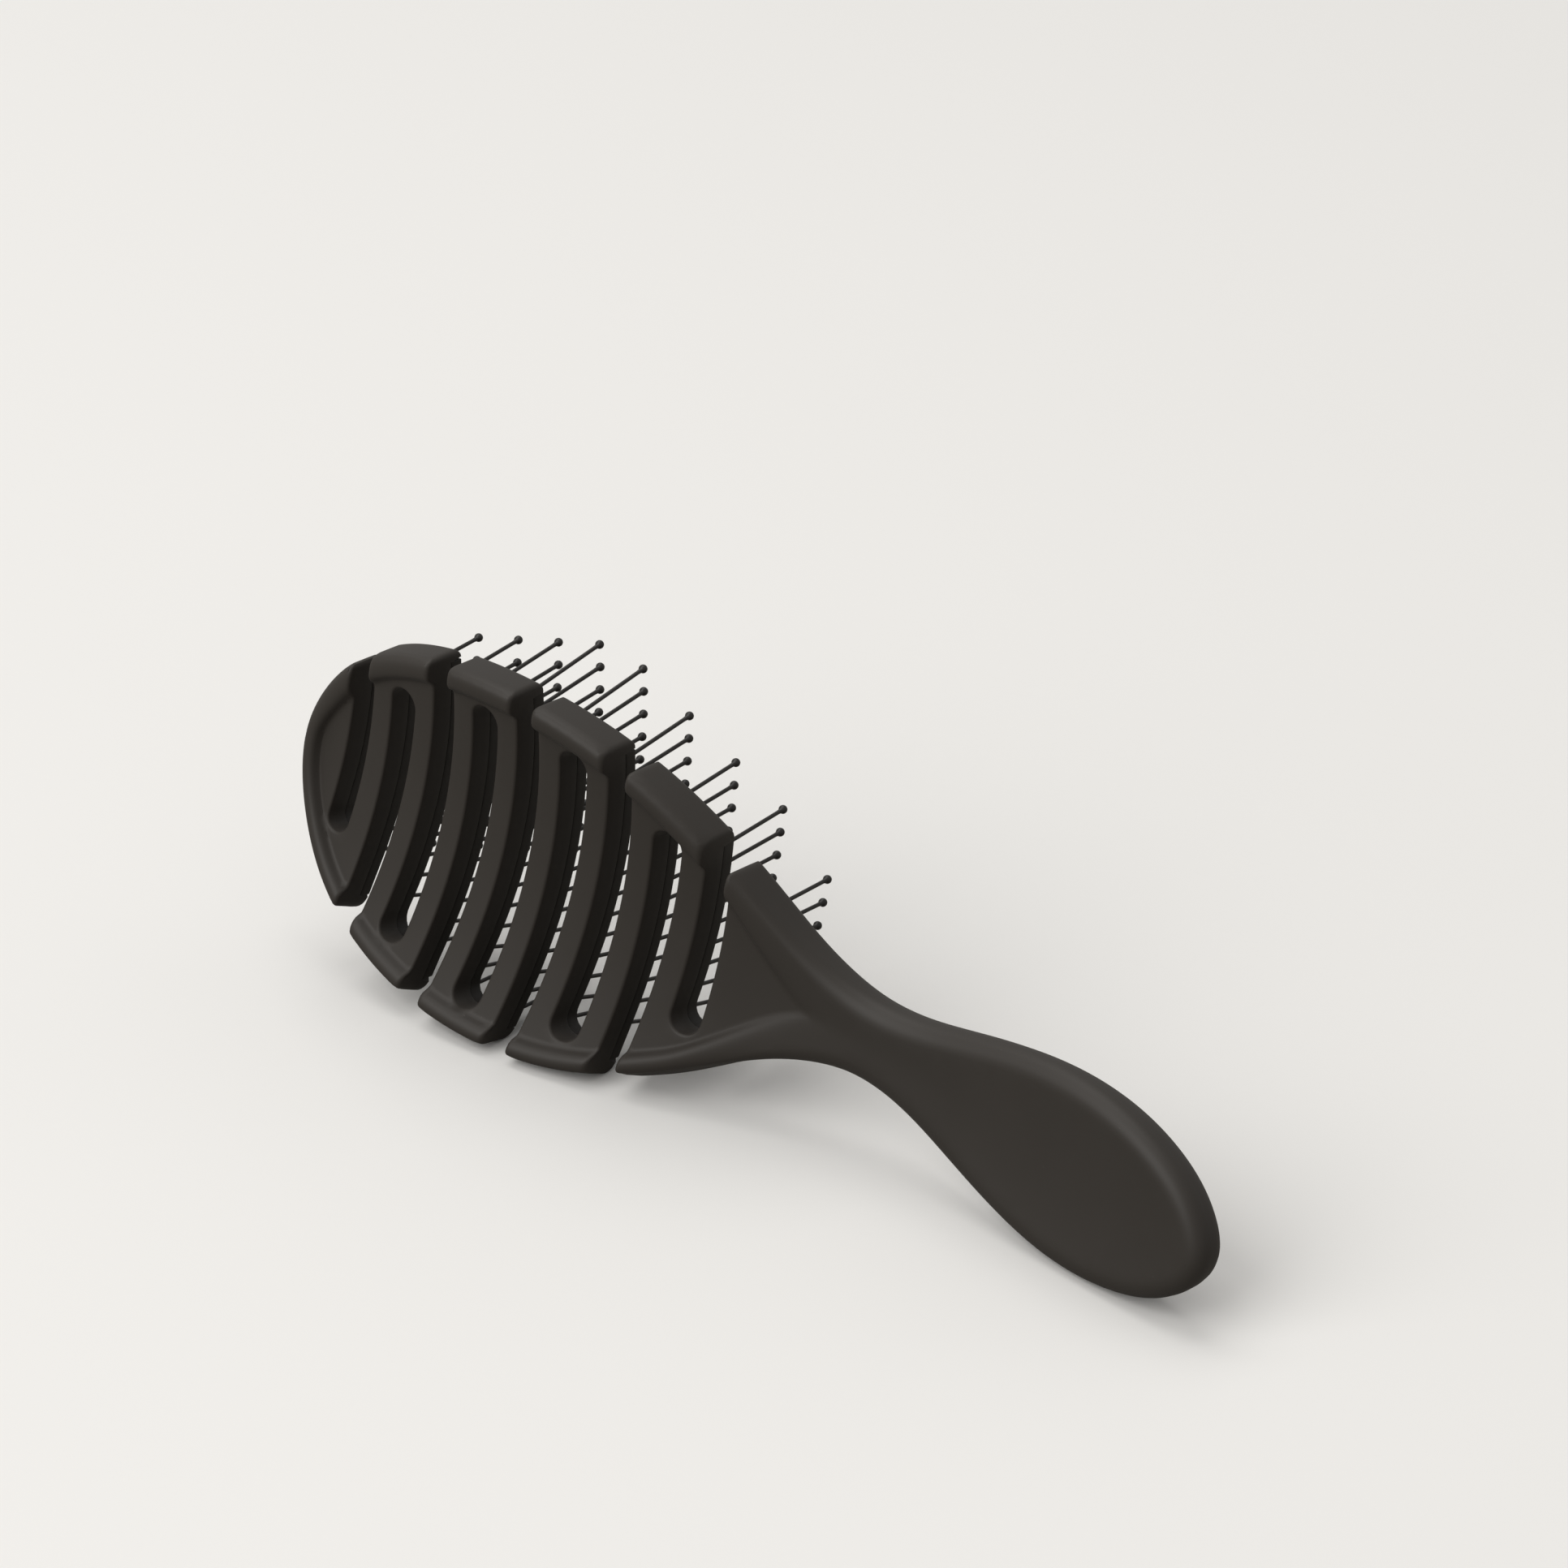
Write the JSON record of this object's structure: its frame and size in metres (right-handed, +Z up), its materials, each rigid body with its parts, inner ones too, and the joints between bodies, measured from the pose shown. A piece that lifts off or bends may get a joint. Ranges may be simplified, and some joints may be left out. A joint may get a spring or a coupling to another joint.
{
  "type": "hair grooming brush",
  "caption": "Vented hair grooming brush in matte charcoal, with a slotted flexing head, ball-tipped pins and a rounded handle.",
  "frame": {"origin": "on the floor, under the middle of the brush's box", "axes": "+X along the brush towards the handle's end, +Z up, the back of the head faces -Y and the pins point to +Y"},
  "size_m": [0.2222, 0.0462, 0.0746],
  "materials": {
    "soft_touch": "matte",
    "plate_plastic": "satin",
    "pin_plastic": "satin"
  },
  "bodies": {
    "root": {"brush_shell": "soft_touch", "pin_plate": "plate_plastic", "pin_row_01": "pin_plastic", "pin_row_02": "pin_plastic", "pin_row_03": "pin_plastic", "pin_row_04": "pin_plastic", "pin_row_05": "pin_plastic", "pin_row_06": "pin_plastic", "pin_row_07": "pin_plastic", "pin_row_08": "pin_plastic", "pin_row_09": "pin_plastic"}
  },
  "joints": []
}
